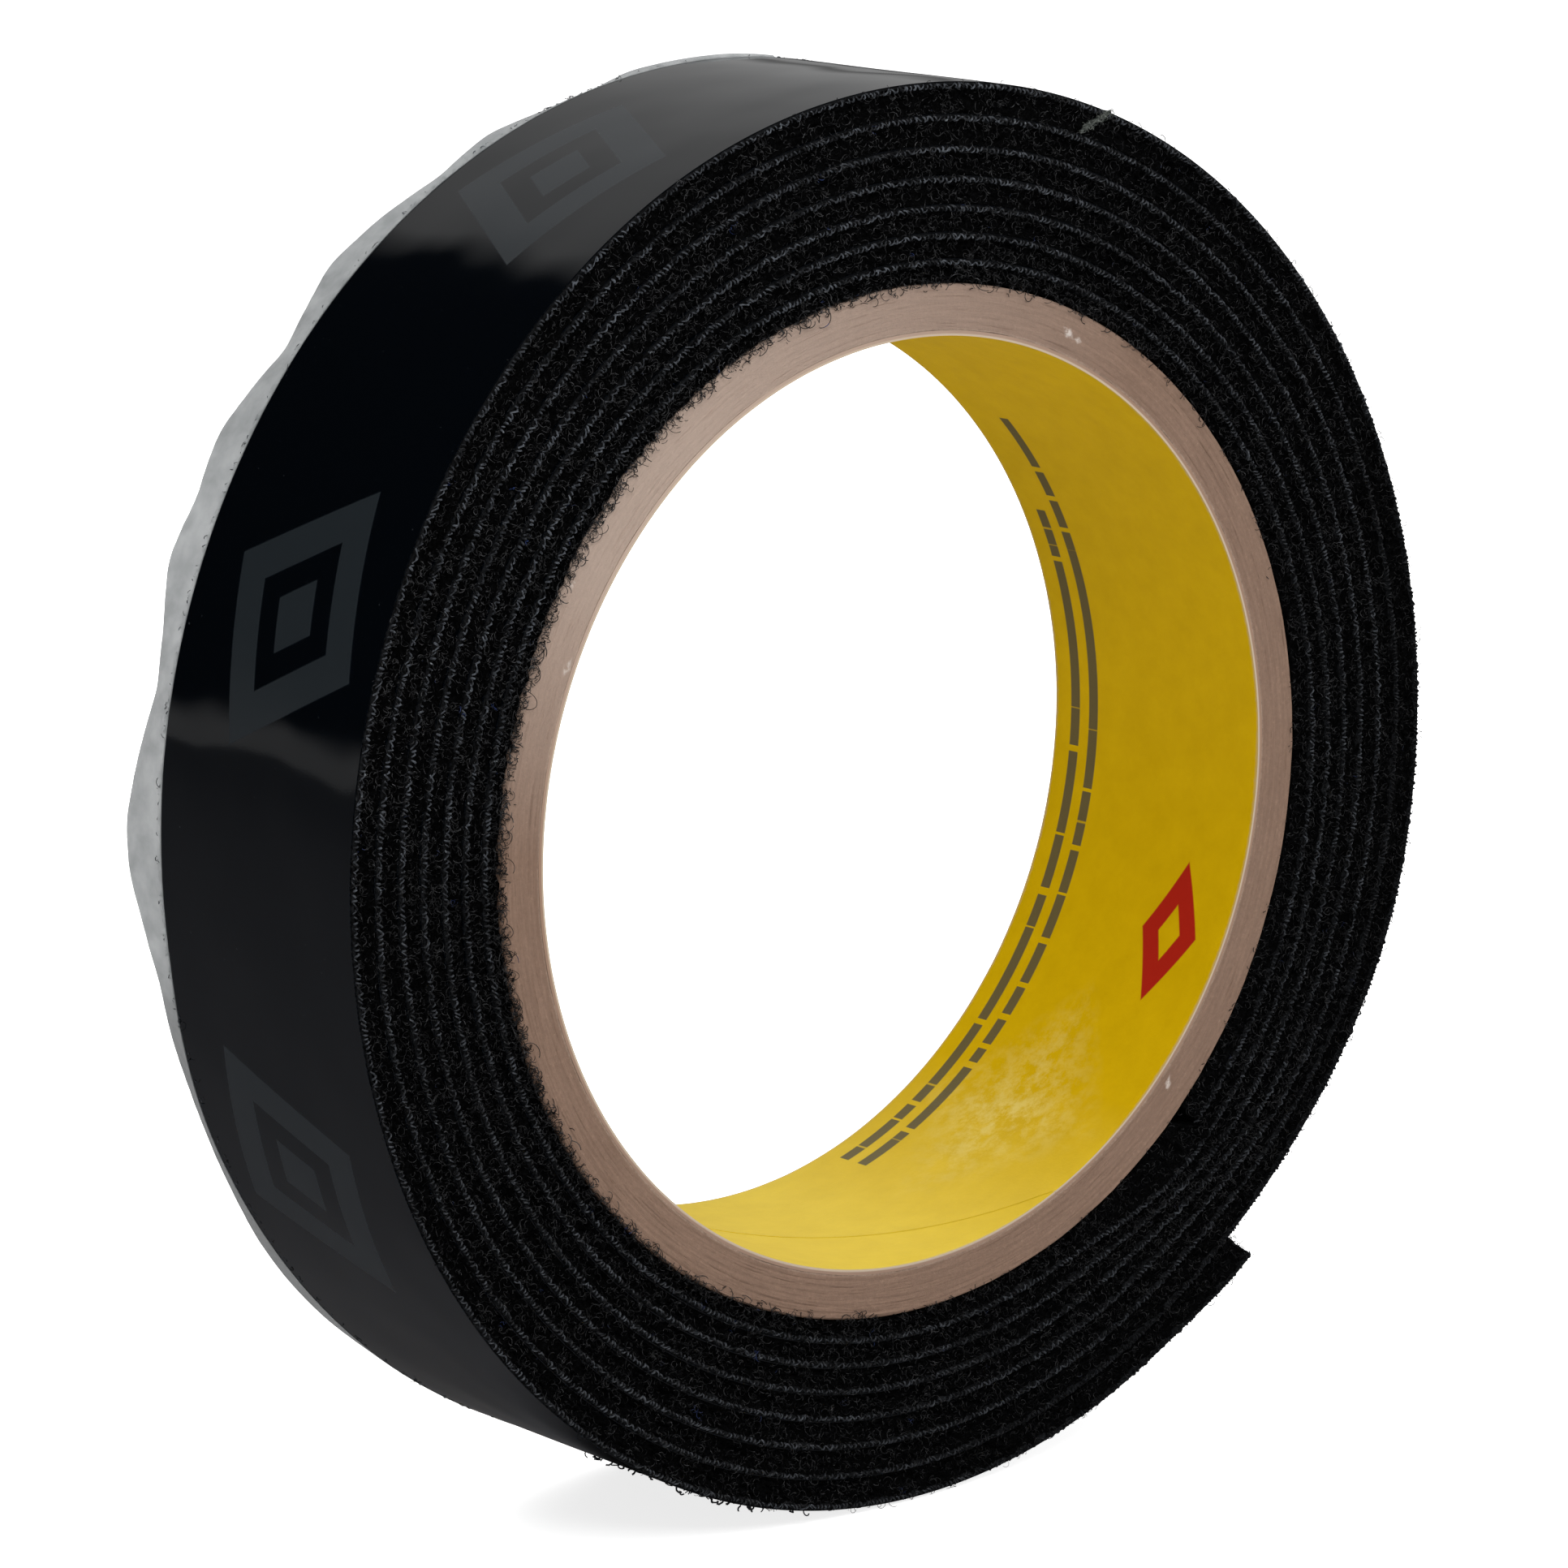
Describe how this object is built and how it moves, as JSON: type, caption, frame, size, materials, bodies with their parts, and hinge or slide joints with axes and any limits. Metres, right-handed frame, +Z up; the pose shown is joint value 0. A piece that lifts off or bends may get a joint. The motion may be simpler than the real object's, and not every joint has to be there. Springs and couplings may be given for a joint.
{
  "type": "loop fastener tape roll",
  "caption": "Roll of adhesive-backed loop fastener tape with a release liner, wound on a spiral paperboard core, with a free end that flexes open.",
  "frame": {"origin": "centre of the core bore, half way through the tape width", "axes": "+Y along the bore axis, from the front side to the rear side where the liner overhangs; +Z up; the free end of the tape is low on the +X side"},
  "size_m": [0.1139, 0.0295, 0.1168],
  "materials": {
    "label_paper": "satin coated yellow paper",
    "core_board": "raw kraft board",
    "loop_pile": "matte looped nylon",
    "backing_weave": "close weave",
    "adhesive": "tacky grey",
    "liner_film": "clear gloss film over black tape",
    "splice_film": "pale translucent film"
  },
  "bodies": {
    "roll": {"core_label_ply": "label_paper", "core_board_ply_1": "core_board", "core_board_ply_2": "core_board", "core_board_ply_3": "core_board", "core_board_ply_4": "core_board", "core_board_ply_5": "core_board", "core_board_ply_6": "core_board", "core_board_ply_7": "core_board", "starter_adhesive": "adhesive", "release_liner": "liner_film", "inner_length_adhesive": "adhesive", "inner_length_backing": "backing_weave", "inner_length_loop_pile": "loop_pile", "outer_length_adhesive": "adhesive", "outer_length_backing": "backing_weave", "outer_length_loop_pile": "loop_pile", "splice_film": "splice_film"},
    "tail_1": {"tail_1_adhesive": "adhesive", "tail_1_backing": "backing_weave", "tail_1_loop_pile": "loop_pile", "tail_1_liner": "liner_film"},
    "tail_2": {"tail_2_adhesive": "adhesive", "tail_2_backing": "backing_weave", "tail_2_loop_pile": "loop_pile", "tail_2_liner": "liner_film"},
    "tail_3": {"tail_3_adhesive": "adhesive", "tail_3_backing": "backing_weave", "tail_3_loop_pile": "loop_pile"},
    "liner_flap": {"tail_3_liner": "liner_film"}
  },
  "joints": [
    {"name": "tail_bend_1", "type": "hinge", "parent": "roll", "child": "tail_1", "pos_m": [0.01463, 0, -0.05657], "axis": [0, 1, 0], "range_deg": [0, 9], "stiffness_Nm_per_rad": 0.08},
    {"name": "tail_bend_2", "type": "hinge", "parent": "tail_1", "child": "tail_2", "pos_m": [0.02299, 0, -0.05364], "axis": [0, 1, 0], "range_deg": [0, 9], "stiffness_Nm_per_rad": 0.08},
    {"name": "tail_bend_3", "type": "hinge", "parent": "tail_2", "child": "tail_3", "pos_m": [0.03087, 0, -0.04959], "axis": [0, 1, 0], "range_deg": [0, 9], "stiffness_Nm_per_rad": 0.08},
    {"name": "liner_peel", "type": "hinge", "parent": "tail_3", "child": "liner_flap", "pos_m": [0.03087, 0, -0.04959], "axis": [0, 1, 0], "range_deg": [0, 50], "stiffness_Nm_per_rad": 0.01}
  ]
}
